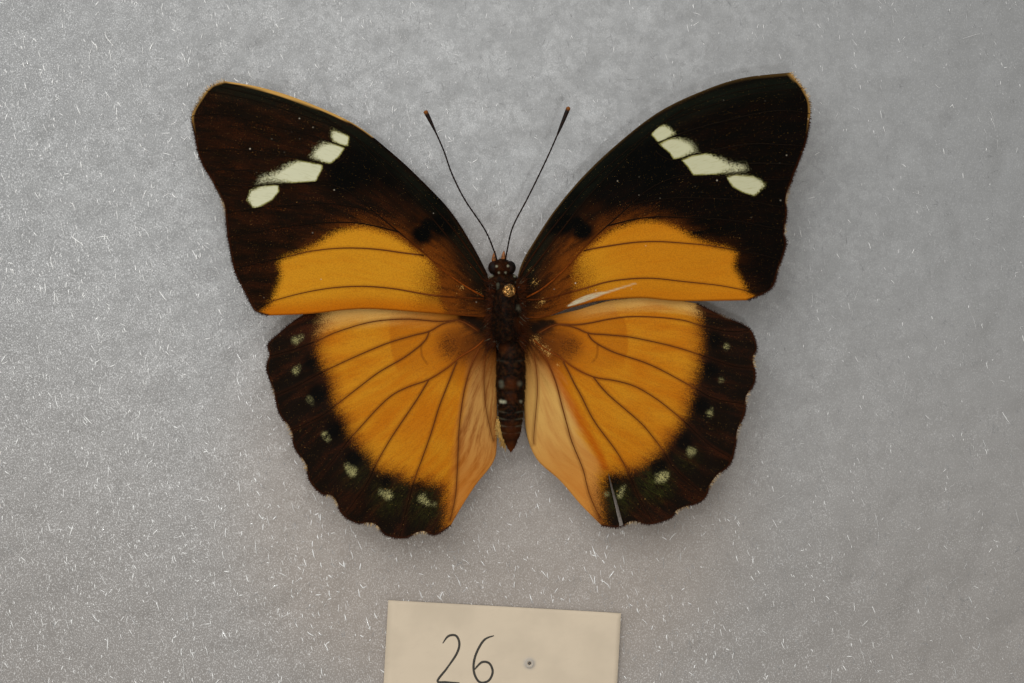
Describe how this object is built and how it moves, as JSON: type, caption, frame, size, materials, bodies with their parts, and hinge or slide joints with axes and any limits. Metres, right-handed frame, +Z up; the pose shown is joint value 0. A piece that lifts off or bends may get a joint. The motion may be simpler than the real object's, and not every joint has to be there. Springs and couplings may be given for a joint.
{
  "type": "pinned butterfly specimen on a wadding bed",
  "caption": "Spread butterfly with dark and orange wings, pinned on a flat bed of wadding over a board, with a plain card beside it.",
  "frame": {"origin": "middle of the board's underside, which rests on the surface", "axes": "+X along the board's long side, +Y the way the insect's head points, +Z up along the pin"},
  "size_m": [0.16, 0.12, 0.0365],
  "materials": {
    "board": "white closed-cell foam board, matt, with a fine cut edge",
    "wadding": "loose polyester fibre wadding, pale grey, with bright glinting single fibres",
    "card": "thin cream card, matt, cut by hand, pierced once",
    "pin_brass": "tarnished brass wire with a bright upset head",
    "body": "black-brown hairy cuticle with small white spots",
    "forewing": "brown-black wing scales with an orange patch and a broken white band",
    "hindwing": "orange wing scales with a brown-black border and pale spots",
    "limbs": "smooth dark cuticle, paler at the antenna tips"
  },
  "bodies": {
    "root": {"pinning_board": "board", "wadding_layer": "wadding", "number_card": "card", "insect_pin": "pin_brass", "head": "body", "thorax": "body", "abdomen": "body", "tongue": "body", "left_forewing": "forewing", "right_forewing": "forewing", "left_hindwing": "hindwing", "right_hindwing": "hindwing", "left_antenna": "limbs", "right_antenna": "limbs", "left_middle_leg": "limbs", "right_middle_leg": "limbs", "left_hind_leg": "limbs", "right_hind_leg": "limbs"}
  },
  "joints": []
}
